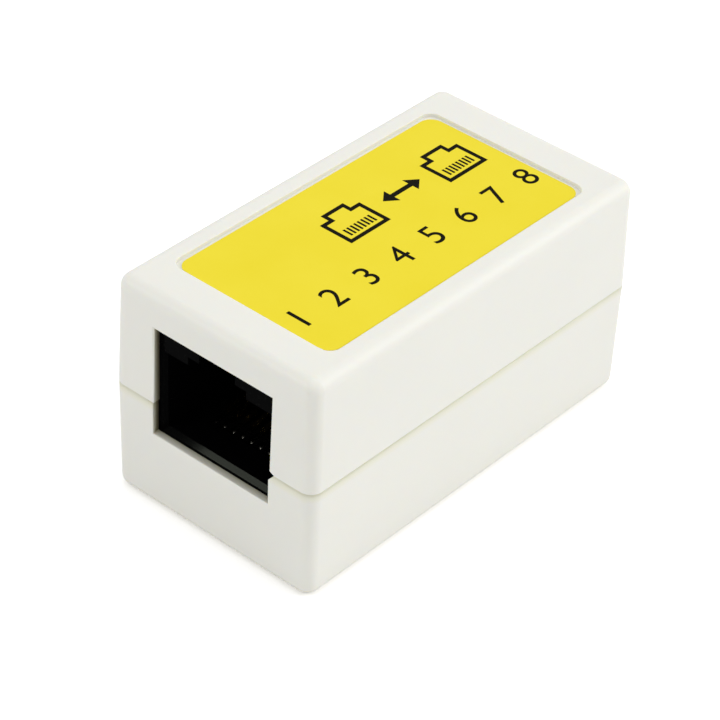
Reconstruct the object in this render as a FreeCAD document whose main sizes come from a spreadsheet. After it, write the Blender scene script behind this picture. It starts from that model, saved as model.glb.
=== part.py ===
import FreeCAD, Part
import math
import os
import Sketcher

# An in-line coupler: two eight-contact sockets back to back on a small circuit board, inside a
# two-part moulded case with a label in a recess on top.
#
# Frame: the origin is the middle of the base, +X runs along the plugs' axis from the front socket
# to the rear one, +Y across, +Z up. Each socket's own pieces are drawn in the socket's frame,
# whose origin is at the foot of its face, with +X into the socket, and are then placed.

Vector = FreeCAD.Vector

doc = FreeCAD.newDocument("inline_coupler")

# Driving sizes, in millimetres and degrees. Each is written once, here.
DRIVING_SIZES = (
    # Cavity that takes a plug, with the channel for its latch above it.
    ("plug_width", 11.85),
    ("plug_height", 7.55),
    ("plug_depth", 12.0),
    ("mouth_chamfer", 0.4),
    ("latch_width", 6.5),
    ("latch_height", 1.2),
    ("latch_depth", 8.0),
    ("latch_neck_width", 4.0),
    ("latch_neck_height", 1.1),
    ("catch_lip", 1.6),
    # Walls of the socket housing and its two board pegs.
    ("socket_floor", 2.55),
    ("socket_side", 1.575),
    ("socket_roof", 0.9),
    ("socket_edge", 0.25),
    ("bulkhead", 1.2),
    ("peg_radius", 1.25),
    ("peg_inset", 0.535),
    ("peg_place", 9.0),
    ("peg_stand", 0.5),
    ("peg_gap", 0.08),
    # Contact wires, and the comb slots that keep them apart.
    ("contact_spacing", 1.016),
    ("wire_thick", 0.3),
    ("wire_width", 0.45),
    ("wire_gap", 0.08),
    ("run_height", 1.25),
    ("turn_place", 4.2),
    ("turn_radius", 0.5),
    ("turn_clear", 0.4),
    ("ramp_angle", 18.0),
    ("comb_height", 3.65),
    ("comb_depth", 0.8),
    ("wire_end_gap", 0.3),
    ("tail_inset", 0.8),
    ("tail_row_gap", 2.54),
    ("tail_cover", 1.46),
    ("tail_stand", 0.9),
    # Carrier that closes the back of a socket over the tails.
    ("carrier_cheek", 1.0),
    ("carrier_height", 6.9),
    ("carrier_gap", 0.1),
    # Circuit board and the solder that holds the tails in it.
    ("board_thick", 1.6),
    ("board_place", 4.3),
    ("board_end_gap", 0.2),
    ("hole_radius", 0.45),
    ("solder_radius", 0.7),
    ("solder_height", 0.55),
    ("solder_ease", 0.36),
    # Case: walls, the room inside them and the parting line.
    ("back_gap", 4.3),
    ("end_wall", 0.75),
    ("side_wall", 1.5),
    ("side_space", 2.3),
    ("roof_space", 1.0),
    ("floor_thick", 1.6),
    ("roof_thick", 1.8),
    ("parting_height", 11.1),
    ("upper_draft", 1.0),
    ("lower_draft", 0.6),
    ("corner_round", 1.25),
    ("top_round", 1.2),
    ("base_round", 0.9),
    ("parting_ease", 0.28),
    # Window in each end wall, set back round the socket's mouth.
    ("window_below", 0.7),
    ("window_above", 0.42),
    ("window_beside", 0.645),
    ("window_shift", 0.07),
    ("notch_width", 0.62),
    ("upper_notch", 0.26),
    ("lower_notch", 0.78),
    # Ribs that hold the board and the sockets.
    ("rib_thick", 1.0),
    ("rib_near", 3.0),
    ("rib_far", 11.8),
    ("rib_gap", 0.1),
    ("rib_root", 0.2),
    # Corner pins pressed into posts, and the tongue along each long side.
    ("post_place", 8.9),
    ("post_clear", 0.5),
    ("post_root", 0.4),
    ("pin_radius", 0.6),
    ("pin_length", 2.2),
    ("pin_gap", 0.05),
    ("pin_end_gap", 0.3),
    ("tongue_thick", 0.6),
    ("tongue_height", 0.9),
    ("tongue_inset", 4.0),
    ("tongue_gap", 0.08),
    # Label and its recess.
    ("label_length", 32.4),
    ("label_width", 17.2),
    ("label_along", -0.08),
    ("label_across", -0.07),
    ("label_thick", 0.12),
    ("label_round", 1.3),
    ("label_gap", 0.29),
    ("recess_depth", 0.38),
    ("recess_round", 1.15),
)

CONTACTS = 8

# Edges are picked by their place, to within this distance, and a feature that changes the
# volume by less than this has done nothing.
SAME_PLACE = 1e-4
SAME_VOLUME = 1e-6

sizes = doc.addObject("Spreadsheet::Sheet", "Sizes")
for row, (size_name, size_value) in enumerate(DRIVING_SIZES, start=1):
    sizes.set("A%d" % row, size_name)
    sizes.set("B%d" % row, str(size_value))
    sizes.setAlias("B%d" % row, size_name)
doc.recompute()

# Lengths that follow from the driving sizes, as formulas for the sheet's values.
CARRIER_DEPTH = "(Sizes.tail_inset + Sizes.tail_row_gap + Sizes.tail_cover)"
CARRIER_FRONT = "(Sizes.plug_depth + Sizes.bulkhead)"
CARRIER_HALF = "(%d * Sizes.contact_spacing / 2 + Sizes.carrier_cheek)" % CONTACTS
SOCKET_DEPTH = "(%s + %s)" % (CARRIER_FRONT, CARRIER_DEPTH)
SOCKET_HALF = "(Sizes.plug_width / 2 + Sizes.socket_side)"
PLUG_TOP = "(Sizes.socket_floor + Sizes.plug_height)"
LATCH_TOP = "(%s + Sizes.latch_height)" % PLUG_TOP
NECK_TOP = "(%s + Sizes.latch_neck_height)" % LATCH_TOP
SOCKET_HEIGHT = "(%s + Sizes.socket_roof)" % NECK_TOP
RUN_LOW = "(Sizes.run_height - Sizes.wire_thick / 2)"
RUN_HIGH = "(Sizes.run_height + Sizes.wire_thick / 2)"
TAIL_NEAR = "(%s + Sizes.tail_inset)" % CARRIER_FRONT
TAIL_FAR = "(%s + Sizes.tail_row_gap)" % TAIL_NEAR
SLOT_WIDTH = "(Sizes.wire_width + 2 * Sizes.wire_gap)"

SOCKET_BASE = "(Sizes.board_place + Sizes.board_thick)"
SOCKET_TOP = "(%s + %s)" % (SOCKET_BASE, SOCKET_HEIGHT)
FACE_PLACE = "(Sizes.back_gap / 2 + %s)" % SOCKET_DEPTH
CASE_HALF_LENGTH = "(%s + Sizes.end_wall)" % FACE_PLACE
SPACE_HALF_WIDTH = "(%s + Sizes.side_space)" % SOCKET_HALF
CASE_HALF_WIDTH = "(%s + Sizes.side_wall)" % SPACE_HALF_WIDTH
ROOF_INSIDE = "(%s + Sizes.roof_space)" % SOCKET_TOP
CASE_HEIGHT = "(%s + Sizes.roof_thick)" % ROOF_INSIDE
WINDOW_LOW = "(%s + Sizes.socket_floor - Sizes.window_below)" % SOCKET_BASE
WINDOW_HIGH = "(%s + %s + Sizes.window_above)" % (SOCKET_BASE, NECK_TOP)
WINDOW_HALF = "(Sizes.plug_width / 2 + Sizes.window_beside)"
PEG_ACROSS = "(%s - Sizes.peg_inset - Sizes.peg_radius)" % SOCKET_HALF
POST_RADIUS = "((Sizes.side_space - Sizes.post_clear + Sizes.post_root) / 2)"
POST_ACROSS = "(%s + Sizes.post_root - %s)" % (SPACE_HALF_WIDTH, POST_RADIUS)
POST_ALONG = "(%s - Sizes.post_place)" % FACE_PLACE
TONGUE_HALF_LENGTH = "(%s - Sizes.tongue_inset)" % CASE_HALF_LENGTH


def size(formula):
    """The present value of a formula, as a plain number."""
    return float(sizes.evalExpression(formula))


def minus(formula):
    return "-1 * %s" % formula


# ---------------------------------------------------------------- drawing and feature helpers

def new_body(name):
    body = doc.addObject("PartDesign::Body", name)
    body.Label = name
    return body


def sketch_on(body, name, role, offset="0"):
    """A sketch on one of the body's own origin planes, moved along the plane's normal."""
    plane = next(item for item in body.Origin.OriginFeatures if item.Role == role)
    sketch = body.newObject("Sketcher::SketchObject", name)
    sketch.AttachmentSupport = (plane, [""])
    sketch.MapMode = "FlatFace"
    sketch.setExpression("AttachmentOffset.Base.z", offset)
    return sketch


def dimension(sketch, kind_and_places, formula, first_value=None):
    """A dimension of the sketch, bound to the sheet."""
    value = size(formula) if first_value is None else first_value
    number = sketch.addConstraint(Sketcher.Constraint(*kind_and_places, value))
    sketch.setExpression("Constraints[%d]" % number, formula)


def pin_down(sketch, geometry, point, across, up):
    """Dimension a point of the sketch from the sketch's origin."""
    dimension(sketch, ("DistanceX", -1, 1, geometry, point), across)
    dimension(sketch, ("DistanceY", -1, 1, geometry, point), up)


def outline(sketch, corners):
    """A closed outline of straight lines; each corner is a pair of formulas."""
    first = sketch.GeometryCount
    places = [Vector(size(across), size(up), 0) for across, up in corners]
    for number, place in enumerate(places):
        following = places[(number + 1) % len(places)]
        sketch.addGeometry(Part.LineSegment(place, following))
    for number, (across, up) in enumerate(corners):
        previous = first + (number - 1) % len(corners)
        sketch.addConstraint(Sketcher.Constraint("Coincident", previous, 2, first + number, 1))
        pin_down(sketch, first + number, 1, across, up)


def rectangle(sketch, left, right, low, high):
    outline(sketch, [(left, low), (right, low), (right, high), (left, high)])


def circle(sketch, across, up, radius):
    centre = Vector(size(across), size(up), 0)
    ring = sketch.addGeometry(Part.Circle(centre, Vector(0, 0, 1), size(radius)))
    pin_down(sketch, ring, 3, across, up)
    dimension(sketch, ("Radius", ring), radius)


def octagon(sketch, across, up, radius):
    """Eight sides round a point, for the small round things that repeat most."""
    turns = [math.radians(22.5 + 45 * side) for side in range(8)]
    outline(sketch, [("%s + %s * %.6f" % (across, radius, math.cos(turn)),
                      "%s + %s * %.6f" % (up, radius, math.sin(turn))) for turn in turns])


def extrude(kind, body, sketch, name, length, backwards, symmetric, draft):
    feature = body.newObject(kind, name)
    feature.Profile = (sketch, [""])
    feature.setExpression("Length", length)
    feature.Reversed = backwards
    if symmetric:
        feature.SideType = "Symmetric"
    if draft:
        feature.setExpression("TaperAngle", draft)
    doc.recompute()
    return feature


def pad(body, sketch, name, length, backwards=False, symmetric=False, draft=None):
    return extrude("PartDesign::Pad", body, sketch, name, length, backwards, symmetric, draft)


def pocket(body, sketch, name, length, backwards=False, symmetric=False):
    """A pocket that is known to have cut something away."""
    before = body.Shape.Volume
    feature = extrude("PartDesign::Pocket", body, sketch, name, length, backwards, symmetric, None)
    if body.Shape.Volume > before - SAME_VOLUME:
        raise RuntimeError("%s of %s cuts nothing" % (name, body.Label))
    return feature


def row_of(body, feature, name, spacing, count):
    """Repeat a pocket along +Y."""
    before = body.Shape.Volume
    pattern = body.newObject("PartDesign::LinearPattern", name)
    pattern.Originals = [feature]
    plane = next(item for item in body.Origin.OriginFeatures if item.Role == "Y_Axis")
    pattern.Direction = (plane, [""])
    pattern.Mode = "Spacing"
    pattern.setExpression("Offset", spacing)
    pattern.Occurrences = count
    body.Tip = pattern
    doc.recompute()
    if abs(body.Shape.Volume - before) < SAME_VOLUME:
        raise RuntimeError("%s of %s repeats nothing" % (name, body.Label))
    return pattern


def edge_names(shape, wanted):
    return ["Edge%d" % number for number, edge in enumerate(shape.Edges, start=1) if wanted(edge)]


def ease_edges(kind, body, name, amount, wanted):
    """Round or chamfer the edges of the body for which wanted(edge) is true."""
    base = body.Tip
    feature = body.newObject(kind, name)
    feature.Base = (base, edge_names(base.Shape, wanted))
    feature.setExpression("Radius" if kind.endswith("Fillet") else "Size", amount)
    doc.recompute()
    return feature


def fillet(body, name, radius, wanted):
    return ease_edges("PartDesign::Fillet", body, name, radius, wanted)


def chamfer(body, name, amount, wanted):
    return ease_edges("PartDesign::Chamfer", body, name, amount, wanted)


def level_at(height):
    """True for an edge that lies at the given height all along."""
    def wanted(edge):
        ends = (edge.BoundBox.ZMin, edge.BoundBox.ZMax)
        return max(abs(end - height) for end in ends) < SAME_PLACE
    return wanted


def upright(edge):
    """True for an edge that stands, give or take the draft of a wall."""
    box = edge.BoundBox
    return box.ZLength > 5 * max(box.XLength, box.YLength)


def place(body, along="0", across="0", up="0", turned=False):
    """Put a body in the coupler's frame, turned half round for the rear socket."""
    half_turn = FreeCAD.Rotation(Vector(0, 0, 1), 180 if turned else 0)
    body.Placement = FreeCAD.Placement(Vector(0, 0, 0), half_turn)
    body.setExpression("Placement.Base.x", along)
    body.setExpression("Placement.Base.y", across)
    body.setExpression("Placement.Base.z", up)


# Front and rear socket: where its frame stands, and whether it is turned half round.
SOCKETS = (
    ("front", minus(FACE_PLACE), False),
    ("rear", FACE_PLACE, True),
)


def contact_across(number):
    """Where a contact stands across its own socket, in the socket's frame."""
    return "(%g * Sizes.contact_spacing)" % (number - (CONTACTS + 1) / 2)


def tail_place(number):
    """Odd contacts come down in the row near the cavity, even ones in the far row."""
    return TAIL_NEAR if number % 2 else TAIL_FAR


# ---------------------------------------------------------------- case

def case_block(body, height, downwards, draft, outer_height, outer_round):
    """The drafted outer block of one half, widest at the parting line, with rounded corners."""
    plan = sketch_on(body, "plan", "XY_Plane", "Sizes.parting_height")
    rectangle(plan, minus(CASE_HALF_LENGTH), CASE_HALF_LENGTH,
              minus(CASE_HALF_WIDTH), CASE_HALF_WIDTH)
    pad(body, plan, "block", height, backwards=downwards, draft=minus(draft))
    fillet(body, "corners", "Sizes.corner_round", upright)
    fillet(body, "outer_edge", outer_round, level_at(size(outer_height)))


def hollow(body, depth, upwards):
    room = sketch_on(body, "room", "XY_Plane", "Sizes.parting_height")
    rectangle(room, minus(FACE_PLACE), FACE_PLACE, minus(SPACE_HALF_WIDTH), SPACE_HALF_WIDTH)
    pocket(body, room, "inside", depth, backwards=upwards)


def posts(body, depth, upwards):
    """Four eight-sided posts beside the sockets, half sunk in the long walls."""
    feet = sketch_on(body, "post_plan", "XY_Plane", "Sizes.parting_height")
    for along in (minus(POST_ALONG), POST_ALONG):
        for across in (minus(POST_ACROSS), POST_ACROSS):
            octagon(feet, along, across, POST_RADIUS)
    pad(body, feet, "posts", depth, backwards=not upwards)


def across_rib(body, name, corners, along):
    """A rib across the case at one place along it."""
    section = sketch_on(body, name + "_section", "YZ_Plane", along)
    outline(section, corners)
    pad(body, section, name, "Sizes.rib_thick", symmetric=True)


def rib_places():
    near = "(%s - Sizes.rib_near)" % FACE_PLACE
    far = "(%s - Sizes.rib_far)" % FACE_PLACE
    return (minus(near), minus(far), far, near)


def windows(body, shift, far_edge, notch_edge):
    """Both end windows in one cut, with one corner broken at the parting line."""
    view = sketch_on(body, "window", "YZ_Plane")
    near_side = "(%s - %s)" % (shift, WINDOW_HALF)
    far_side = "(%s + %s)" % (shift, WINDOW_HALF)
    outline(view, [
        (near_side, far_edge),
        (far_side, far_edge),
        (far_side, "Sizes.parting_height"),
        (minus("(%s + Sizes.notch_width)" % WINDOW_HALF), "Sizes.parting_height"),
        (near_side, notch_edge),
    ])
    pocket(body, view, "windows", "2 * %s" % CASE_HALF_LENGTH, symmetric=True)


def tongue_strips(sketch, ease):
    """A strip along the inner half of each long wall, eased by a clearance."""
    inner = "(%s - %s)" % (SPACE_HALF_WIDTH, ease)
    outer = "(%s + Sizes.tongue_thick + %s)" % (SPACE_HALF_WIDTH, ease)
    half_length = "(%s + %s)" % (TONGUE_HALF_LENGTH, ease)
    rectangle(sketch, minus(half_length), half_length, inner, outer)
    rectangle(sketch, minus(half_length), half_length, minus(outer), minus(inner))


def make_lower_shell():
    """Tray with the board's cradle ribs, the pins, the tongues and the windows' lower part."""
    body = new_body("lower_shell")
    case_block(body, "Sizes.parting_height", True, "Sizes.lower_draft", "0", "Sizes.base_round")
    chamfer(body, "parting_edge", "Sizes.parting_ease", level_at(size("Sizes.parting_height")))
    hollow(body, "Sizes.parting_height - Sizes.floor_thick", False)
    posts(body, "Sizes.parting_height - Sizes.floor_thick / 2", False)
    wall = "(%s + Sizes.rib_root)" % SPACE_HALF_WIDTH
    cheek = "(%s + Sizes.rib_gap)" % SOCKET_HALF
    root = "(Sizes.floor_thick - Sizes.rib_root)"
    for number, along in enumerate(rib_places(), start=1):
        across_rib(body, "cradle_%d" % number, [
            (minus(wall), root),
            (wall, root),
            (wall, "Sizes.parting_height"),
            (cheek, "Sizes.parting_height"),
            (cheek, "Sizes.board_place"),
            (minus(cheek), "Sizes.board_place"),
            (minus(cheek), "Sizes.parting_height"),
            (minus(wall), "Sizes.parting_height"),
        ], along)
    strips = sketch_on(body, "tongue_plan", "XY_Plane", "Sizes.parting_height")
    tongue_strips(strips, "0")
    pad(body, strips, "tongues", "Sizes.tongue_height")
    pins = sketch_on(body, "pin_plan", "XY_Plane", "Sizes.parting_height")
    for along in (minus(POST_ALONG), POST_ALONG):
        for across in (minus(POST_ACROSS), POST_ACROSS):
            circle(pins, along, across, "Sizes.pin_radius")
    pad(body, pins, "pins", "Sizes.pin_length")
    windows(body, "Sizes.window_shift", WINDOW_LOW, "(Sizes.parting_height - Sizes.lower_notch)")
    return body


def make_upper_shell():
    """Cover with portal ribs over the sockets, the pin holes and the label's recess."""
    body = new_body("upper_shell")
    height = "(%s - Sizes.parting_height)" % CASE_HEIGHT
    room = "(%s - Sizes.parting_height)" % ROOF_INSIDE
    case_block(body, height, False, "Sizes.upper_draft", CASE_HEIGHT, "Sizes.top_round")
    hollow(body, room, True)
    posts(body, "%s + Sizes.roof_thick / 2" % room, True)
    wall = "(%s + Sizes.rib_root)" % SPACE_HALF_WIDTH
    cheek = "(%s + Sizes.rib_gap)" % SOCKET_HALF
    root = "(%s + Sizes.rib_root)" % ROOF_INSIDE
    for number, along in enumerate(rib_places(), start=1):
        across_rib(body, "portal_%d" % number, [
            (minus(wall), root),
            (minus(wall), "Sizes.parting_height"),
            (minus(cheek), "Sizes.parting_height"),
            (minus(cheek), SOCKET_TOP),
            (cheek, SOCKET_TOP),
            (cheek, "Sizes.parting_height"),
            (wall, "Sizes.parting_height"),
            (wall, root),
        ], along)
    grooves = sketch_on(body, "groove_plan", "XY_Plane", "Sizes.parting_height")
    tongue_strips(grooves, "Sizes.tongue_gap")
    pocket(body, grooves, "grooves", "Sizes.tongue_height + Sizes.tongue_gap", backwards=True)
    holes = sketch_on(body, "pin_hole_plan", "XY_Plane", "Sizes.parting_height")
    for along in (minus(POST_ALONG), POST_ALONG):
        for across in (minus(POST_ACROSS), POST_ACROSS):
            circle(holes, along, across, "(Sizes.pin_radius + Sizes.pin_gap)")
    pocket(body, holes, "pin_holes", "Sizes.pin_length + Sizes.pin_end_gap", backwards=True)
    windows(body, minus("Sizes.window_shift"), WINDOW_HIGH,
            "(Sizes.parting_height + Sizes.upper_notch)")
    half_length = "(Sizes.label_length / 2 + Sizes.label_gap)"
    half_width = "(Sizes.label_width / 2 + Sizes.label_gap)"
    bed = sketch_on(body, "recess_plan", "XY_Plane", CASE_HEIGHT)
    rectangle(bed, minus(half_length), half_length, minus(half_width), half_width)
    pocket(body, bed, "recess", "Sizes.recess_depth")
    corner = Vector(size(half_length), size(half_width), 0)
    recess_floor = size("%s - Sizes.recess_depth" % CASE_HEIGHT)

    def recess_corner(edge):
        middle = edge.BoundBox.Center
        beside = abs(abs(middle.x) - corner.x) < SAME_PLACE and abs(abs(middle.y) - corner.y) < SAME_PLACE
        return beside and middle.z > recess_floor
    fillet(body, "recess_corners", "Sizes.recess_round", recess_corner)
    return body


def make_label():
    """Printed sheet laid by hand on the recess's floor, a hair out of its middle."""
    body = new_body("label")
    plan = sketch_on(body, "plan", "XY_Plane", "%s - Sizes.recess_depth" % CASE_HEIGHT)
    rectangle(plan, "-Sizes.label_length / 2", "Sizes.label_length / 2",
              "-Sizes.label_width / 2", "Sizes.label_width / 2")
    pad(body, plan, "sheet", "Sizes.label_thick")
    fillet(body, "corners", "Sizes.label_round", lambda edge: edge.BoundBox.ZLength > SAME_PLACE)
    place(body, "Sizes.label_along", "Sizes.label_across")
    return body


# ---------------------------------------------------------------- sockets

def make_socket_housing(end, along, turned):
    """Moulded socket: stepped mouth, comb floor, room for the carrier and two board pegs."""
    body = new_body(end + "_socket_housing")
    half_plug = "(Sizes.plug_width / 2)"
    half_latch = "(Sizes.latch_width / 2)"
    half_neck = "(Sizes.latch_neck_width / 2)"

    face = sketch_on(body, "face", "YZ_Plane")
    rectangle(face, minus(SOCKET_HALF), SOCKET_HALF, "0", SOCKET_HEIGHT)
    pad(body, face, "block", SOCKET_DEPTH)
    depth = size(SOCKET_DEPTH)
    fillet(body, "back_edges", "Sizes.socket_edge",
           lambda edge: upright(edge) and abs(edge.BoundBox.XMax - depth) < SAME_PLACE)

    cavity = sketch_on(body, "cavity_view", "YZ_Plane")
    rectangle(cavity, minus(half_plug), half_plug, "Sizes.socket_floor", PLUG_TOP)
    pocket(body, cavity, "cavity", "Sizes.plug_depth", backwards=True)
    chamfer(body, "mouth", "Sizes.mouth_chamfer", mouth_edge)

    # The latch's channel is stepped at the face; behind the lip it opens to its full width, and
    # the two shoulders that are left there hold the plug's latch.
    channel = sketch_on(body, "channel_view", "YZ_Plane")
    under = "(%s - Sizes.mouth_chamfer)" % PLUG_TOP
    outline(channel, [
        (minus(half_latch), under),
        (half_latch, under),
        (half_latch, LATCH_TOP),
        (half_neck, LATCH_TOP),
        (half_neck, NECK_TOP),
        (minus(half_neck), NECK_TOP),
        (minus(half_neck), LATCH_TOP),
        (minus(half_latch), LATCH_TOP),
    ])
    pocket(body, channel, "channel", "Sizes.latch_depth", backwards=True)
    catch = sketch_on(body, "catch_view", "YZ_Plane", "Sizes.catch_lip")
    rectangle(catch, minus(half_latch), half_latch, PLUG_TOP, NECK_TOP)
    pocket(body, catch, "catch", "Sizes.latch_depth - Sizes.catch_lip", backwards=True)

    back = sketch_on(body, "back_view", "YZ_Plane", CARRIER_FRONT)
    room_half = "(%s + Sizes.carrier_gap)" % CARRIER_HALF
    rectangle(back, minus(room_half), room_half, "0",
              "Sizes.carrier_height + Sizes.carrier_gap")
    pocket(body, back, "carrier_room", CARRIER_DEPTH, backwards=True)

    # One comb slot seen from the side: under the turn and the ramp, up into the bulkhead for the
    # wire's free end, and through the bulkhead's foot for its run.
    slot_start = "(Sizes.turn_place - Sizes.turn_radius - Sizes.wire_thick / 2 - Sizes.turn_clear)"
    slot_end = "(Sizes.plug_depth + Sizes.comb_depth)"
    slot_top = "(Sizes.socket_floor + Sizes.comb_height)"
    slot = sketch_on(body, "slot_view", "XZ_Plane", minus(contact_across(1)))
    outline(slot, [
        (slot_start, RUN_LOW),
        (CARRIER_FRONT, RUN_LOW),
        (CARRIER_FRONT, RUN_HIGH),
        (slot_end, RUN_HIGH),
        (slot_end, slot_top),
        (slot_start, slot_top),
    ])
    first = pocket(body, slot, "comb_slot", SLOT_WIDTH, symmetric=True)
    row_of(body, first, "comb", "Sizes.contact_spacing", CONTACTS)

    feet = sketch_on(body, "peg_plan", "XY_Plane")
    for across in (minus(PEG_ACROSS), PEG_ACROSS):
        circle(feet, "Sizes.peg_place", across, "Sizes.peg_radius")
    peg_end = "(Sizes.board_thick + Sizes.peg_stand)"
    pad(body, feet, "pegs", peg_end, backwards=True)
    chamfer(body, "peg_ends", "Sizes.peg_stand / 2", level_at(size(minus(peg_end))))
    place(body, along, up=SOCKET_BASE, turned=turned)
    return body


def mouth_edge(edge):
    """The edges of the cavity in the socket's face, apart from the outer ones."""
    box = edge.BoundBox
    half_plug = size("Sizes.plug_width / 2")
    inside = box.YMax < half_plug + SAME_PLACE and box.YMin > -half_plug - SAME_PLACE
    low_enough = box.ZMax < size(PLUG_TOP) + SAME_PLACE and box.ZMin > SAME_PLACE
    return box.XMax < SAME_PLACE and inside and low_enough


def make_contact_carrier(end, along, turned):
    """Block that closes the housing's back, slotted from below for the tails of both rows."""
    body = new_body(end + "_contact_carrier")
    face = sketch_on(body, "face", "YZ_Plane", CARRIER_FRONT)
    rectangle(face, minus(CARRIER_HALF), CARRIER_HALF, "0", "Sizes.carrier_height")
    pad(body, face, "block", CARRIER_DEPTH)
    for number in (1, 2):
        name = "near" if number % 2 else "far"
        slot = sketch_on(body, name + "_slot_view", "XZ_Plane", minus(contact_across(number)))
        end_of_slot = "(%s + Sizes.wire_thick / 2 + Sizes.wire_gap)" % tail_place(number)
        rectangle(slot, CARRIER_FRONT, end_of_slot, "0", RUN_HIGH)
        first = pocket(body, slot, name + "_slot", SLOT_WIDTH, symmetric=True)
        row_of(body, first, name + "_slots", "2 * Sizes.contact_spacing", CONTACTS // 2)
    place(body, along, up=SOCKET_BASE, turned=turned)
    return body


def contact_line(sketch, tail):
    """Middle line of a contact wire: tail, run under the floor, half turn and rising ramp."""
    flat = Vector(0, 0, 1)
    tail_x = size(tail)
    foot = size("-Sizes.board_thick - Sizes.tail_stand")
    run = size("Sizes.run_height")
    turn = size("Sizes.turn_radius")
    tilt = math.radians(size("Sizes.ramp_angle"))
    turn_centre = Vector(size("Sizes.turn_place"), run + turn, 0)
    ramp_start = turn_centre + Vector(-math.sin(tilt), math.cos(tilt), 0) * turn
    end_formula = "(Sizes.plug_depth + Sizes.comb_depth - Sizes.wire_end_gap)"
    reach = size(end_formula) - ramp_start.x
    ramp_end = ramp_start + Vector(reach, reach * math.tan(tilt), 0)
    turn_ring = Part.Circle(turn_centre, flat, turn)

    down = sketch.addGeometry(Part.LineSegment(Vector(tail_x, foot, 0), Vector(tail_x, run, 0)))
    level = sketch.addGeometry(
        Part.LineSegment(Vector(tail_x, run, 0), Vector(turn_centre.x, run, 0)))
    half_turn = sketch.addGeometry(
        Part.ArcOfCircle(turn_ring, math.pi / 2 + tilt, 3 * math.pi / 2))
    ramp = sketch.addGeometry(Part.LineSegment(ramp_start, ramp_end))

    sketch.addConstraint(Sketcher.Constraint("Vertical", down))
    sketch.addConstraint(Sketcher.Constraint("Horizontal", level))
    sketch.addConstraint(Sketcher.Constraint("Coincident", down, 2, level, 1))
    sketch.addConstraint(Sketcher.Constraint("Tangent", level, 2, half_turn, 2))
    sketch.addConstraint(Sketcher.Constraint("Tangent", half_turn, 1, ramp, 1))
    dimension(sketch, ("Radius", half_turn), "Sizes.turn_radius")
    dimension(sketch, ("Angle", ramp), "Sizes.ramp_angle", tilt)
    pin_down(sketch, down, 1, tail, "(-Sizes.board_thick - Sizes.tail_stand)")
    dimension(sketch, ("DistanceY", -1, 1, level, 1), "Sizes.run_height")
    dimension(sketch, ("DistanceX", -1, 1, half_turn, 3), "Sizes.turn_place")
    dimension(sketch, ("DistanceX", -1, 1, ramp, 2), end_formula)


def make_contact(end, along, turned, number):
    """One bent wire: a flat section swept along its line, through the board and up to the comb."""
    body = new_body("%s_contact_%d" % (end, number))
    tail = tail_place(number)
    line = sketch_on(body, "line", "XZ_Plane")
    contact_line(line, tail)
    section = sketch_on(body, "section", "XY_Plane", "-Sizes.board_thick - Sizes.tail_stand")
    rectangle(section, "%s - Sizes.wire_thick / 2" % tail, "%s + Sizes.wire_thick / 2" % tail,
              "-Sizes.wire_width / 2", "Sizes.wire_width / 2")
    doc.recompute()
    wire = body.newObject("PartDesign::AdditivePipe", "wire")
    wire.Profile = (section, [""])
    wire.Spine = (line, [])
    wire.Transition = "Right corner"
    across = contact_across(number)
    place(body, along, minus(across) if turned else across, SOCKET_BASE, turned)
    return body


# ---------------------------------------------------------------- board and solder

def make_circuit_board():
    """Drilled board that both sockets stand on."""
    body = new_body("circuit_board")
    plan = sketch_on(body, "plan", "XY_Plane", "Sizes.board_place")
    half_length = "(%s - Sizes.board_end_gap)" % FACE_PLACE
    rectangle(plan, minus(half_length), half_length, minus(SOCKET_HALF), SOCKET_HALF)
    pad(body, plan, "sheet", "Sizes.board_thick")
    pegs = sketch_on(body, "peg_holes_plan", "XY_Plane", SOCKET_BASE)
    for end, face, turned in SOCKETS:
        hand = "-1" if turned else "1"
        for across in (minus(PEG_ACROSS), PEG_ACROSS):
            circle(pegs, "%s + %s * Sizes.peg_place" % (face, hand), across,
                   "(Sizes.peg_radius + Sizes.peg_gap)")
    pocket(body, pegs, "peg_holes", "Sizes.board_thick")
    # Odd contacts stand on one side of the middle at the front, and on the other at the rear,
    # so each row starts at the contact with the lowest place across the board.
    for end, face, turned in SOCKETS:
        hand = "-1" if turned else "1"
        for number in (CONTACTS - 1, CONTACTS) if turned else (1, 2):
            name = "%s_row_%d" % (end, number)
            drill = sketch_on(body, name + "_plan", "XY_Plane", SOCKET_BASE)
            octagon(drill, "%s + %s * %s" % (face, hand, tail_place(number)),
                    "%s * %s" % (hand, contact_across(number)), "Sizes.hole_radius")
            first = pocket(body, drill, name + "_hole", "Sizes.board_thick")
            row_of(body, first, name + "_holes", "2 * Sizes.contact_spacing", CONTACTS // 2)
    return body


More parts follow.
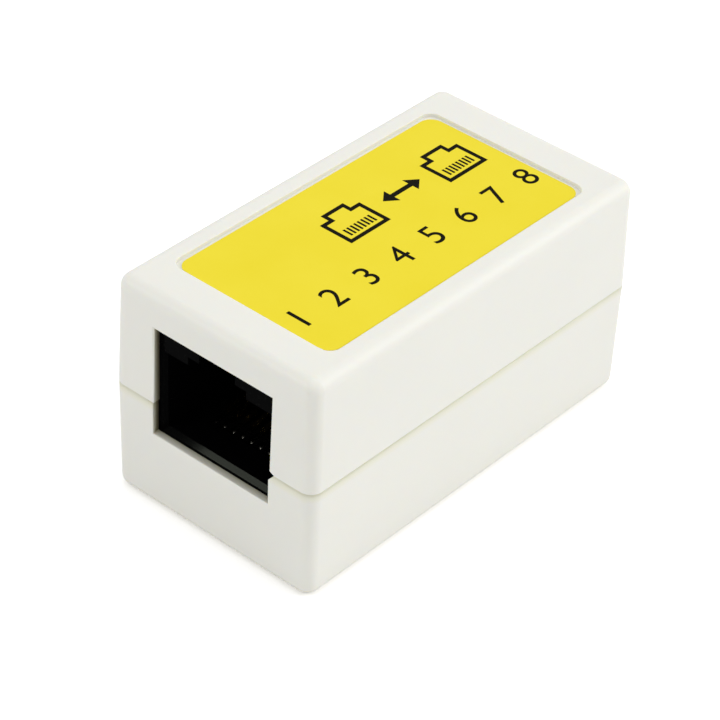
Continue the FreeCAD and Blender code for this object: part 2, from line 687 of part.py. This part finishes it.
def make_solder_joints(end, along, turned):
    """Eight separate joints: solder that fills each drilled hole and narrows down round its tail."""
    body = new_body(end + "_solder_joints")
    body.AllowCompound = True
    rows = (("near", 1), ("far", 2))
    foot = "(Sizes.board_thick + Sizes.solder_height)"
    for name, number in rows:
        fill = sketch_on(body, name + "_fill_plan", "XY_Plane", "-Sizes.board_thick")
        octagon(fill, tail_place(number), contact_across(number), "Sizes.hole_radius")
        barrel = pad(body, fill, name + "_fill", "Sizes.board_thick")
        row_of(body, barrel, name + "_fills", "2 * Sizes.contact_spacing", CONTACTS // 2)
        base = sketch_on(body, name + "_foot_plan", "XY_Plane", "-Sizes.board_thick")
        octagon(base, tail_place(number), contact_across(number), "Sizes.solder_radius")
        pool = pad(body, base, name + "_foot", "Sizes.solder_height", backwards=True)
        row_of(body, pool, name + "_feet", "2 * Sizes.contact_spacing", CONTACTS // 2)
    chamfer(body, "slopes", "Sizes.solder_ease", level_at(size(minus(foot))))
    for name, number in rows:
        hole = sketch_on(body, name + "_tail", "XY_Plane")
        tail = tail_place(number)
        middle = contact_across(number)
        rectangle(hole, "%s - Sizes.wire_thick / 2" % tail, "%s + Sizes.wire_thick / 2" % tail,
                  "%s - Sizes.wire_width / 2" % middle, "%s + Sizes.wire_width / 2" % middle)
        cut = pocket(body, hole, name + "_tail_hole", foot)
        row_of(body, cut, name + "_tail_holes", "2 * Sizes.contact_spacing", CONTACTS // 2)
    place(body, along, up=SOCKET_BASE, turned=turned)
    return body


# ---------------------------------------------------------------- build and export

pieces = [make_lower_shell(), make_upper_shell(), make_label(), make_circuit_board()]
for end, along, turned in SOCKETS:
    pieces.append(make_socket_housing(end, along, turned))
    pieces.append(make_contact_carrier(end, along, turned))
    pieces.append(make_solder_joints(end, along, turned))
    for number in range(1, CONTACTS + 1):
        pieces.append(make_contact(end, along, turned, number))
doc.recompute()

for item in doc.Objects:
    if "Invalid" in item.State or "Error" in item.State:
        raise RuntimeError("%s (%s) failed: %s" % (item.Name, item.Label, item.State))

os.makedirs("parts", exist_ok=True)
for piece in pieces:
    if piece.Shape.isNull() or not piece.Shape.isValid():
        raise RuntimeError("%s has no valid shape" % piece.Label)
    piece.Shape.exportStep("parts/%s.step" % piece.Label)
    box = piece.Shape.BoundBox
    print("%-22s %9.3f mm3  x %7.2f %7.2f  y %7.2f %7.2f  z %6.2f %6.2f  solids %d" % (
        piece.Label, piece.Shape.Volume, box.XMin, box.XMax, box.YMin, box.YMax,
        box.ZMin, box.ZMax, len(piece.Shape.Solids)))
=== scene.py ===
import math

import bmesh
import bpy
from mathutils import Matrix, Vector


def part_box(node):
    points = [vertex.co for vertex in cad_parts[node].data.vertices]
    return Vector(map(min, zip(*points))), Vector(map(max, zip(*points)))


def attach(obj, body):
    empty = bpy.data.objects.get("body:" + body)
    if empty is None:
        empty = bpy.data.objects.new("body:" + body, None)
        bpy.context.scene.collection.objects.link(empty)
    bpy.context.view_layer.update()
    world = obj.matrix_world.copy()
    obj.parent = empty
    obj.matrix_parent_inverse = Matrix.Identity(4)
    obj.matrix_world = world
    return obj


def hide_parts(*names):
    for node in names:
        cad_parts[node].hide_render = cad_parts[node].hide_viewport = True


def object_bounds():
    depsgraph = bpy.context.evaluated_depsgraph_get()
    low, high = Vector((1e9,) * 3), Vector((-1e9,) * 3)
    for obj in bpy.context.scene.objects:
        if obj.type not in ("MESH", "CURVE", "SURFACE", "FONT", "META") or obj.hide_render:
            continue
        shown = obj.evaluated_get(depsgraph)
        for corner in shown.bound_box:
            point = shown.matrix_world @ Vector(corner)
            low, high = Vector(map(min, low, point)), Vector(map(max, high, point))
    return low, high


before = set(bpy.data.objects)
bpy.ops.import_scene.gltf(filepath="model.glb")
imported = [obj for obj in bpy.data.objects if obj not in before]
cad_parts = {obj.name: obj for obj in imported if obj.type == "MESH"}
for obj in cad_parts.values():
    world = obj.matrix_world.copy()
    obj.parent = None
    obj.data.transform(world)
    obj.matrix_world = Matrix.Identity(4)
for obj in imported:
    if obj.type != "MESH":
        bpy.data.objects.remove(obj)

cad_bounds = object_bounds()

# -------------------------------------------------------------------------- the two case halves
# Two moulded halves in creamy white ABS, pressed together on four inner pins. The mould was
# finely spark-eroded, so the plastic is satin with a faint grain and lets a little light in.
# The rims of the windows and of the label's recess are a little eased.

MM = 0.001
SAME_PLACE = 0.0005 * MM
FLAT_WITHIN = math.radians(0.2)


def node_copy(name, node_name, sharp_from):
    """One smooth mesh made from a CAD node: merged corners, flat faces joined, smooth rounds."""
    shape = bmesh.new()
    shape.from_mesh(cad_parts[node_name].data)
    bmesh.ops.remove_doubles(shape, verts=shape.verts, dist=SAME_PLACE)
    bmesh.ops.dissolve_limit(shape, angle_limit=FLAT_WITHIN, verts=shape.verts,
                             edges=shape.edges)
    mesh = bpy.data.meshes.new(name)
    shape.to_mesh(mesh)
    shape.free()
    for face in mesh.polygons:
        face.use_smooth = True
    mesh.set_sharp_from_angle(angle=math.radians(sharp_from))
    piece = bpy.data.objects.new(name, mesh)
    bpy.context.scene.collection.objects.link(piece)
    return piece


def ease_edges(piece, width, segments, on_rim):
    """A small round on the sharp edges of a piece's rims, with its flat faces kept flat."""
    weights = piece.data.attributes.new("bevel_weight_edge", "FLOAT", "EDGE")
    corners = piece.data.vertices
    for edge in piece.data.edges:
        middle = (corners[edge.vertices[0]].co + corners[edge.vertices[1]].co) / 2
        if edge.use_edge_sharp and on_rim(middle):
            weights.data[edge.index].value = 1.0
    bevel = piece.modifiers.new("eased_edges", "BEVEL")
    bevel.width = width
    bevel.segments = segments
    bevel.limit_method = "WEIGHT"
    flat_faces = piece.modifiers.new("flat_faces", "WEIGHTED_NORMAL")
    flat_faces.keep_sharp = True
    flat_faces.weight = 80


def new_finish(name):
    """A new material, with its node tree, its shader and the object's own coordinates."""
    material = bpy.data.materials.new(name)
    material.use_nodes = True
    tree = material.node_tree
    place = tree.nodes.new("ShaderNodeTexCoord").outputs["Object"]
    return material, tree, tree.nodes["Principled BSDF"], place


def axes(tree, place):
    """The X, Y and Z of a place."""
    apart = tree.nodes.new("ShaderNodeSeparateXYZ")
    tree.links.new(place, apart.inputs["Vector"])
    return apart.outputs


def noise(tree, place, size, detail=2.0):
    """Noise with patches of about the given size."""
    texture = tree.nodes.new("ShaderNodeTexNoise")
    texture.inputs["Scale"].default_value = 1 / size
    texture.inputs["Detail"].default_value = detail
    tree.links.new(place, texture.inputs["Vector"])
    return texture.outputs["Fac"]


def spread(tree, value, low, high):
    """A value of 0 to 1, spread over low to high."""
    wider = tree.nodes.new("ShaderNodeMapRange")
    wider.inputs["To Min"].default_value = low
    wider.inputs["To Max"].default_value = high
    tree.links.new(value, wider.inputs["Value"])
    return wider.outputs["Result"]


def span(tree, value, start, end):
    """How far a value is from start to end, held between 0 and 1."""
    part_way = tree.nodes.new("ShaderNodeMapRange")
    part_way.inputs["From Min"].default_value = start
    part_way.inputs["From Max"].default_value = end
    tree.links.new(value, part_way.inputs["Value"])
    return part_way.outputs["Result"]


def step(tree, operation, value, limit=None):
    """One Math node on a value; the limit is a number or another value."""
    maths = tree.nodes.new("ShaderNodeMath")
    maths.operation = operation
    tree.links.new(value, maths.inputs[0])
    if isinstance(limit, float):
        maths.inputs[1].default_value = limit
    elif limit is not None:
        tree.links.new(limit, maths.inputs[1])
    return maths.outputs["Value"]


def blended(tree, amount, stops):
    """A colour from a row of stops, each a (position, colour) of the amount."""
    ramp = tree.nodes.new("ShaderNodeValToRGB")
    elements = ramp.color_ramp.elements
    while len(elements) < len(stops):
        elements.new(1.0)
    for element, (position, colour) in zip(elements, stops):
        element.position = position
        element.color = (*colour, 1)
    tree.links.new(amount, ramp.inputs["Fac"])
    return ramp.outputs["Color"]


def paint_shade(tree, amount, stops):
    """Paints shade into a material: multiplies its colour by the tint that the stops give for an
    amount.
    """
    base = tree.nodes["Principled BSDF"].inputs["Base Color"]
    product = tree.nodes.new("ShaderNodeVectorMath")
    product.operation = "MULTIPLY"
    tree.links.new(base.links[0].from_socket, product.inputs[0])
    tree.links.new(blended(tree, amount, stops), product.inputs[1])
    tree.links.new(product.outputs["Vector"], base)


def bumped(tree, shader, height, strength, depth):
    """Raises a fine relief on a surface."""
    bump = tree.nodes.new("ShaderNodeBump")
    bump.inputs["Strength"].default_value = strength
    bump.inputs["Distance"].default_value = depth
    tree.links.new(height, bump.inputs["Height"])
    tree.links.new(bump.outputs["Normal"], shader.inputs["Normal"])


def plastic(name, colour, roughness, grain_size, grain_height):
    """A moulded plastic: an even colour with a faint cloud in it, and a fine grain."""
    material, tree, shader, place = new_finish(name)
    cloud = noise(tree, place, size=9 * MM, detail=3.0)
    shade = tree.nodes.new("ShaderNodeVectorMath")
    shade.operation = "SCALE"
    shade.inputs[0].default_value = colour
    tree.links.new(spread(tree, cloud, low=0.985, high=1.015), shade.inputs["Scale"])
    tree.links.new(shade.outputs["Vector"], shader.inputs["Base Color"])
    bumped(tree, shader, noise(tree, place, size=grain_size), strength=0.5, depth=grain_height)
    polish = spread(tree, cloud, low=roughness - 0.03, high=roughness + 0.03)
    tree.links.new(polish, shader.inputs["Roughness"])
    return material


case_white = plastic("case_white", (0.85, 0.845, 0.785), roughness=0.42, grain_size=0.12 * MM,
                     grain_height=0.004 * MM)
case_tree = case_white.node_tree
on_case = axes(case_tree, case_tree.nodes["Texture Coordinate"].outputs["Object"])
along_case = step(case_tree, "ABSOLUTE", on_case["X"])
across_case = step(case_tree, "ABSOLUTE", on_case["Y"])

# Painted shade: below the top, nooks and creases are painted darker and warmer where shade falls
# in them.
TOP_STARTS = 20 * MM
painted_nook_shade = case_tree.nodes.new("ShaderNodeAmbientOcclusion")
painted_nook_shade.samples = 8
painted_nook_shade.inputs["Distance"].default_value = 0.8 * MM
on_top = step(case_tree, "GREATER_THAN", on_case["Z"], TOP_STARTS)
paint_shade(case_tree, step(case_tree, "MAXIMUM", painted_nook_shade.outputs["AO"], on_top),
       ((0.35, (0.85, 0.82, 0.72)), (0.92, (1, 1, 1))))

# Painted shade: each window's wall is painted darker from its rim in to the socket's face, and
# its sill, which faces up, less so.
case_end = cad_bounds[1].x
socket_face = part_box("rear_socket_housing")[1].x
WINDOW_SILL = 7.75 * MM
WINDOW_FOOT = WINDOW_SILL - 0.12 * MM
WINDOW_TOP = 18.84 * MM
WINDOW_SIDE = 6.74 * MM
SILL_SHADE_SHARE = 0.3
painted_window_shade = span(case_tree, along_case, case_end - 0.06 * MM, socket_face)
in_window = step(case_tree, "LESS_THAN", across_case, WINDOW_SIDE)
above_foot = step(case_tree, "GREATER_THAN", on_case["Z"], WINDOW_FOOT)
below_top = step(case_tree, "LESS_THAN", on_case["Z"], WINDOW_TOP)
for limit in (in_window, above_foot, below_top):
    painted_window_shade = step(case_tree, "MULTIPLY", painted_window_shade, limit)
on_wall = span(case_tree, on_case["Z"], WINDOW_SILL + 0.03 * MM, WINDOW_SILL + 0.08 * MM)
shade_share = step(case_tree, "MAXIMUM", on_wall, SILL_SHADE_SHARE)
painted_window_shade = step(case_tree, "MULTIPLY", painted_window_shade, shade_share)
paint_shade(case_tree, painted_window_shade,
       ((0.0, (1, 1, 1)), (0.3, (0.60, 0.59, 0.50)), (0.62, (0.22, 0.20, 0.145)),
        (1.0, (0.03, 0.022, 0.012))))

# Painted shade with a cream tint: the lower half is painted darker and creamier just under the
# parting line, where the upper half's edge shades it.
PARTING = 11.1 * MM
PARTING_SHADE_HEIGHT = 1.0 * MM
shade_under_parting = span(case_tree, on_case["Z"], PARTING, PARTING - PARTING_SHADE_HEIGHT)
above_parting = step(case_tree, "GREATER_THAN", on_case["Z"], PARTING)
paint_shade(case_tree, step(case_tree, "MAXIMUM", shade_under_parting, above_parting),
       ((0.0, (0.90, 0.90, 0.80)), (0.3, (0.92, 0.92, 0.82)), (0.6, (0.98, 0.97, 0.90)),
        (1.0, (1, 1, 1))))

case_shader = case_tree.nodes["Principled BSDF"]
case_shader.inputs["Subsurface Weight"].default_value = 0.35
case_shader.inputs["Subsurface Radius"].default_value = (1.0, 0.8, 0.5)
case_shader.inputs["Subsurface Scale"].default_value = 0.4 * MM

END_RIM = 20.6 * MM
TOP_RIM = 21.95 * MM
NOTCH_REACH = 0.6 * MM
RIM_ROUND = 0.07 * MM


def on_case_rim(middle):
    """Whether an edge is on a window's outer rim or on the rim of the label's recess."""
    by_window = abs(middle.x) > END_RIM and abs(middle.z - PARTING) > NOTCH_REACH
    return by_window or middle.z > TOP_RIM


for node_name, piece_name in (("lower_shell", "case_lower_half"),
                              ("upper_shell", "case_upper_half")):
    half = node_copy(piece_name, node_name, sharp_from=35.0)
    ease_edges(half, RIM_ROUND, 3, on_case_rim)
    half.data.materials.append(case_white)
    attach(half, "root")
    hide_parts(node_name)

# ------------------------------------------------------------------------------------ the label
# A die-cut sheet of yellow vinyl, stuck to the floor of the recess. Its cut edge is coloured
# pale.

label_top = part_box("label")[1].z
CUT_EDGE_DEPTH = 0.02 * MM


def label_vinyl():
    """Yellow film with a faint cloud and ripple, pale at its cut edge."""
    material, tree, shader, place = new_finish("label_vinyl")
    on_face = step(tree, "GREATER_THAN", axes(tree, place)["Z"], label_top - CUT_EDGE_DEPTH)
    yellow = blended(tree, noise(tree, place, size=6 * MM, detail=4.0),
                     ((0.3, (0.868, 0.718, 0.029)), (0.7, (0.888, 0.743, 0.039))))
    face_or_edge = tree.nodes.new("ShaderNodeMix")
    face_or_edge.data_type = "RGBA"
    face_or_edge.inputs["A"].default_value = (0.90, 0.83, 0.55, 1)
    tree.links.new(on_face, face_or_edge.inputs["Factor"])
    tree.links.new(yellow, face_or_edge.inputs["B"])
    tree.links.new(face_or_edge.outputs["Result"], shader.inputs["Base Color"])
    bumped(tree, shader, noise(tree, place, size=0.5 * MM), strength=0.3, depth=0.004 * MM)
    shader.inputs["Roughness"].default_value = 0.5
    shader.inputs["Specular IOR Level"].default_value = 0.1
    return material


def finish_node(node_name, material):
    """Gives a CAD node one material."""
    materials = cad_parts[node_name].data.materials
    materials.clear()
    materials.append(material)


finish_node("label", label_vinyl())

# ---------------------------------------------------------------------------- the label's print
# Thin black ink, printed on the vinyl: two socket outlines with a double arrow between them, and
# the numbers of the eight contacts in a row beside them.

CONTACTS = 8
INK_THICK = 0.012 * MM

# Places and shapes on the label are in millimetres, along it and across it.
SOCKET_SIGN = ((-2.5, -0.2), (2.5, -0.2), (2.5, 3.4), (1.4, 3.4), (1.4, 4.3), (-1.4, 4.3),
               (-1.4, 3.4), (-2.5, 3.4))
SOCKET_SIGN_PLACES = ((-1.1, 0.55), (11.8, 0.55))
SIGN_LINE = 0.42
BAR_PITCH = 0.44
BAR_HALF_WIDTH = 0.11
BAR_FOOT, BAR_TOP = 0.55, 1.6
ARROW_SIGN = ((-2.4, 0.0), (-1.2, -0.95), (-1.2, -0.25), (1.2, -0.25), (1.2, -0.95), (2.4, 0.0),
              (1.2, 0.95), (1.2, 0.25), (-1.2, 0.25), (-1.2, 0.95))
ARROW_PLACE = (5.35, 2.6)
NUMBER_HEIGHT = 2.5
NUMBER_ROW_START, NUMBER_ROW_LENGTH, NUMBER_ROW_ACROSS = -14.5, 29.1, -3.65


def on_label(along, across):
    """A place on the label's face."""
    return Vector((along * MM, across * MM, label_top))


def printed_face(ink, corners, place):
    """One inked area, from corners round a place on the label."""
    face = ink.faces.new([ink.verts.new(Vector((x, y, 0)) * MM + place) for x, y in corners])
    face.normal_update()
    return face


def printed_line(ink, corners, line_width, place):
    """A closed line of even width, just inside an outline."""
    face = printed_face(ink, corners, place)
    bmesh.ops.inset_region(ink, faces=[face], thickness=line_width, use_boundary=True,
                           use_even_offset=True)
    bmesh.ops.delete(ink, geom=[face], context="FACES_ONLY")


def printed_number(ink, text, height, place):
    """A numeral of the given height, centred on a place on the label."""
    curve = bpy.data.curves.new("numeral", "FONT")
    curve.body = text
    curve.align_x = "CENTER"
    words = bpy.data.objects.new("numeral", curve)
    mesh = bpy.data.meshes.new_from_object(words)
    tallest = max(corner.co.y for corner in mesh.vertices)
    lowest = min(corner.co.y for corner in mesh.vertices)
    scale = height / (tallest - lowest)
    mesh.transform(Matrix.Translation(place) @ Matrix.Scale(scale, 4)
                   @ Matrix.Translation((0, -(tallest + lowest) / 2, 0)))
    ink.from_mesh(mesh)
    bpy.data.objects.remove(words)
    bpy.data.meshes.remove(mesh)


ink = bmesh.new()
for sign_place in SOCKET_SIGN_PLACES:
    printed_line(ink, SOCKET_SIGN, SIGN_LINE * MM, on_label(*sign_place))
    for contact in range(CONTACTS):
        bar = BAR_PITCH * (contact - (CONTACTS - 1) / 2)
        left, right = bar - BAR_HALF_WIDTH, bar + BAR_HALF_WIDTH
        printed_face(ink, ((left, BAR_FOOT), (right, BAR_FOOT), (right, BAR_TOP),
                           (left, BAR_TOP)), on_label(*sign_place))
printed_face(ink, ARROW_SIGN, on_label(*ARROW_PLACE))
for contact in range(CONTACTS):
    along_label = NUMBER_ROW_START + NUMBER_ROW_LENGTH / (CONTACTS - 1) * contact
    printed_number(ink, str(contact + 1), NUMBER_HEIGHT * MM,
                   on_label(along_label, NUMBER_ROW_ACROSS))
ink.normal_update()
bmesh.ops.solidify(ink, geom=ink.faces[:], thickness=-INK_THICK)
bmesh.ops.recalc_face_normals(ink, faces=ink.faces)
ink_mesh = bpy.data.meshes.new("label_print")
ink.to_mesh(ink_mesh)
ink.free()
label_print = bpy.data.objects.new("label_print", ink_mesh)
bpy.context.scene.collection.objects.link(label_print)
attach(label_print, "root")


def simple_finish(name, dark, light, pattern_size, roughness, metallic=0.0):
    """A plain finish whose colour wanders between two tones."""
    material, tree, shader, place = new_finish(name)
    shader.inputs["Roughness"].default_value = roughness
    shader.inputs["Metallic"].default_value = metallic
    tone = blended(tree, noise(tree, place, size=pattern_size), ((0.0, dark), (1.0, light)))
    tree.links.new(tone, shader.inputs["Base Color"])
    return material


black_ink = simple_finish("black_ink", (0.003, 0.0025, 0.0006), (0.007, 0.006, 0.0012),
                          pattern_size=0.3 * MM, roughness=0.45)
black_ink.node_tree.nodes["Principled BSDF"].inputs["Specular IOR Level"].default_value = 0.03
ink_mesh.materials.append(black_ink)

# ------------------------------------------------------------------------- sockets and carriers
# Two black PBT sockets, back to back, pegged to the board, and the block that closes the back
# of each. The mould was polished, so the lead-in of the mouth carries a clean reflection.

socket_black = plastic("socket_black", (0.0012, 0.0012, 0.0014), roughness=0.05,
                       grain_size=0.3 * MM, grain_height=0.0002 * MM)
black_shader = socket_black.node_tree.nodes["Principled BSDF"]
black_shader.inputs["Specular IOR Level"].default_value = 0.010
black_shader.inputs["Specular Tint"].default_value = (0.9, 1.0, 0.8, 1)
for end in ("front", "rear"):
    housing = node_copy(end + "_socket", end + "_socket_housing", sharp_from=12.0)
    housing.data.materials.append(socket_black)
    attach(housing, "root")
    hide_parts(end + "_socket_housing")
    finish_node(end + "_contact_carrier", socket_black)

# ------------------------------------------------------------------------------------- contacts
# Sixteen bent bronze wires, held in the carriers and soldered in the board. Each is plated with
# gold where it slopes up to meet the plug, and is nickel at its bend, painted very dark as
# shade.

GOLD_ENDS = 14.9 * MM
NICKEL_STARTS = 15.3 * MM


def contact_plating():
    """Gold that gives way along the wire to nickel, painted very dark as shade."""
    material, tree, shader, place = new_finish("contact_gold")
    shader.inputs["Metallic"].default_value = 1.0
    drawn = noise(tree, place, size=0.4 * MM)
    gold = blended(tree, drawn, ((0.0, (0.62, 0.42, 0.14)), (1.0, (0.74, 0.53, 0.20))))
    shaded_nickel = blended(tree, drawn, ((0.0, (0.048, 0.046, 0.040)), (1.0, (0.075, 0.072, 0.062))))
    along_wire = step(tree, "ABSOLUTE", axes(tree, place)["X"])
    plating = tree.nodes.new("ShaderNodeMix")
    plating.data_type = "RGBA"
    tree.links.new(span(tree, along_wire, GOLD_ENDS, NICKEL_STARTS), plating.inputs["Factor"])
    tree.links.new(gold, plating.inputs["A"])
    tree.links.new(shaded_nickel, plating.inputs["B"])
    tree.links.new(plating.outputs["Result"], shader.inputs["Base Color"])
    tree.links.new(spread(tree, drawn, low=0.17, high=0.22), shader.inputs["Roughness"])
    return material


gold_plate = contact_plating()
for end in ("front", "rear"):
    for contact in range(CONTACTS):
        finish_node("%s_contact_%d" % (end, contact + 1), gold_plate)

# ----------------------------------------------------------------------------- board and solder
# A green glass-fibre board that lies on the lower half's ribs, and the tin solder that holds
# each wire's tail in it.

finish_node("circuit_board",
            simple_finish("board_green", (0.02, 0.17, 0.05), (0.03, 0.22, 0.08),
                          pattern_size=0.8 * MM, roughness=0.4))
tin = simple_finish("solder_tin", (0.55, 0.56, 0.57), (0.72, 0.72, 0.73),
                    pattern_size=0.3 * MM, roughness=0.3, metallic=1.0)
for end in ("front", "rear"):
    finish_node(end + "_solder_joints", tin)

# ----------------------------------------------------------------------------------- the studio
# White floor and white surroundings, a large soft lamp on the right, a smaller one behind on the
# left, which the lead-in of the mouth mirrors, and a weak one over the top.

FLOOR_HALF = 2.0
FLOOR_GAP = 0.05 * MM


def white_floor():
    """White paint that shows a little lighter to the camera, and still takes the shadow."""
    material = bpy.data.materials.new("studio_white")
    material.use_nodes = True
    tree = material.node_tree
    shader = tree.nodes["Principled BSDF"]
    shader.inputs["Base Color"].default_value = (0.95, 0.95, 0.95, 1)
    shader.inputs["Roughness"].default_value = 0.9
    shader.inputs["Specular IOR Level"].default_value = 0.1
    shader.inputs["Emission Color"].default_value = (1, 1, 1, 1)
    rays = tree.nodes.new("ShaderNodeLightPath")
    glow = step(tree, "MULTIPLY", rays.outputs["Is Camera Ray"], 0.30)
    tree.links.new(glow, shader.inputs["Emission Strength"])
    return material


floor_mesh = bpy.data.meshes.new("floor")
shape = bmesh.new()
bmesh.ops.create_grid(shape, x_segments=1, y_segments=1, size=FLOOR_HALF)
shape.to_mesh(floor_mesh)
shape.free()
floor = bpy.data.objects.new("floor", floor_mesh)
floor.location.z = -FLOOR_GAP
bpy.context.scene.collection.objects.link(floor)
floor.data.materials.append(white_floor())

# The room lights the object evenly, and is white where it is seen, mirrored or seen through.
world = bpy.data.worlds.new("white_room")
bpy.context.scene.world = world
world.use_nodes = True
room = world.node_tree
sky = room.nodes["Background"]
sky.inputs["Color"].default_value = (1, 1, 1, 1)
ray = room.nodes.new("ShaderNodeLightPath").outputs
shown = step(room, "MAXIMUM", ray["Is Camera Ray"], ray["Is Glossy Ray"])
shown = step(room, "MAXIMUM", shown, ray["Is Transmission Ray"])
room.links.new(spread(room, shown, low=0.655, high=1.0), sky.inputs["Strength"])

middle = (cad_bounds[0] + cad_bounds[1]) / 2


def soft_lamp(name, place, across, power):
    """A square lamp that faces the middle of the coupler."""
    lamp_data = bpy.data.lights.new(name, "AREA")
    lamp_data.shape = "SQUARE"
    lamp_data.size = across
    lamp_data.energy = power
    lamp = bpy.data.objects.new(name, lamp_data)
    lamp.location = place
    lamp.rotation_euler = (middle - Vector(place)).to_track_quat("-Z", "Y").to_euler()
    bpy.context.scene.collection.objects.link(lamp)


soft_lamp("right_lamp", (0.30, -0.34, 0.30), across=0.30, power=0.91)
soft_lamp("left_lamp", (-0.211, 0.147, 0.178), across=0.028, power=0.092)
soft_lamp("top_lamp", (0.02, 0.05, 0.60), across=0.35, power=0.52)

# ----------------------------------------------------------------------------------- the camera
# A long lens, above the front corner, tipped very slightly.

camera_data = bpy.data.cameras.new("camera")
camera_data.lens = 144.35
camera_data.sensor_width = 36.0
camera_data.clip_start = 0.01
camera = bpy.data.objects.new("camera", camera_data)
azimuth = math.radians(50.14)
elevation = math.radians(37.22)
roll = math.radians(2.80)
aim = Vector((-4.31, -1.77, 11.0)) * MM
reach = 246.2 * MM
forward = Vector((math.cos(elevation) * math.sin(azimuth),
                  math.cos(elevation) * math.cos(azimuth),
                  -math.sin(elevation)))
upright_turn = forward.to_track_quat("-Z", "Y").to_matrix().to_4x4()
camera.matrix_world = (Matrix.Translation(aim - forward * reach) @ upright_turn
                       @ Matrix.Rotation(roll, 4, "Z"))
bpy.context.scene.collection.objects.link(camera)
bpy.context.scene.camera = camera

bpy.context.scene.view_settings.view_transform = "Standard"
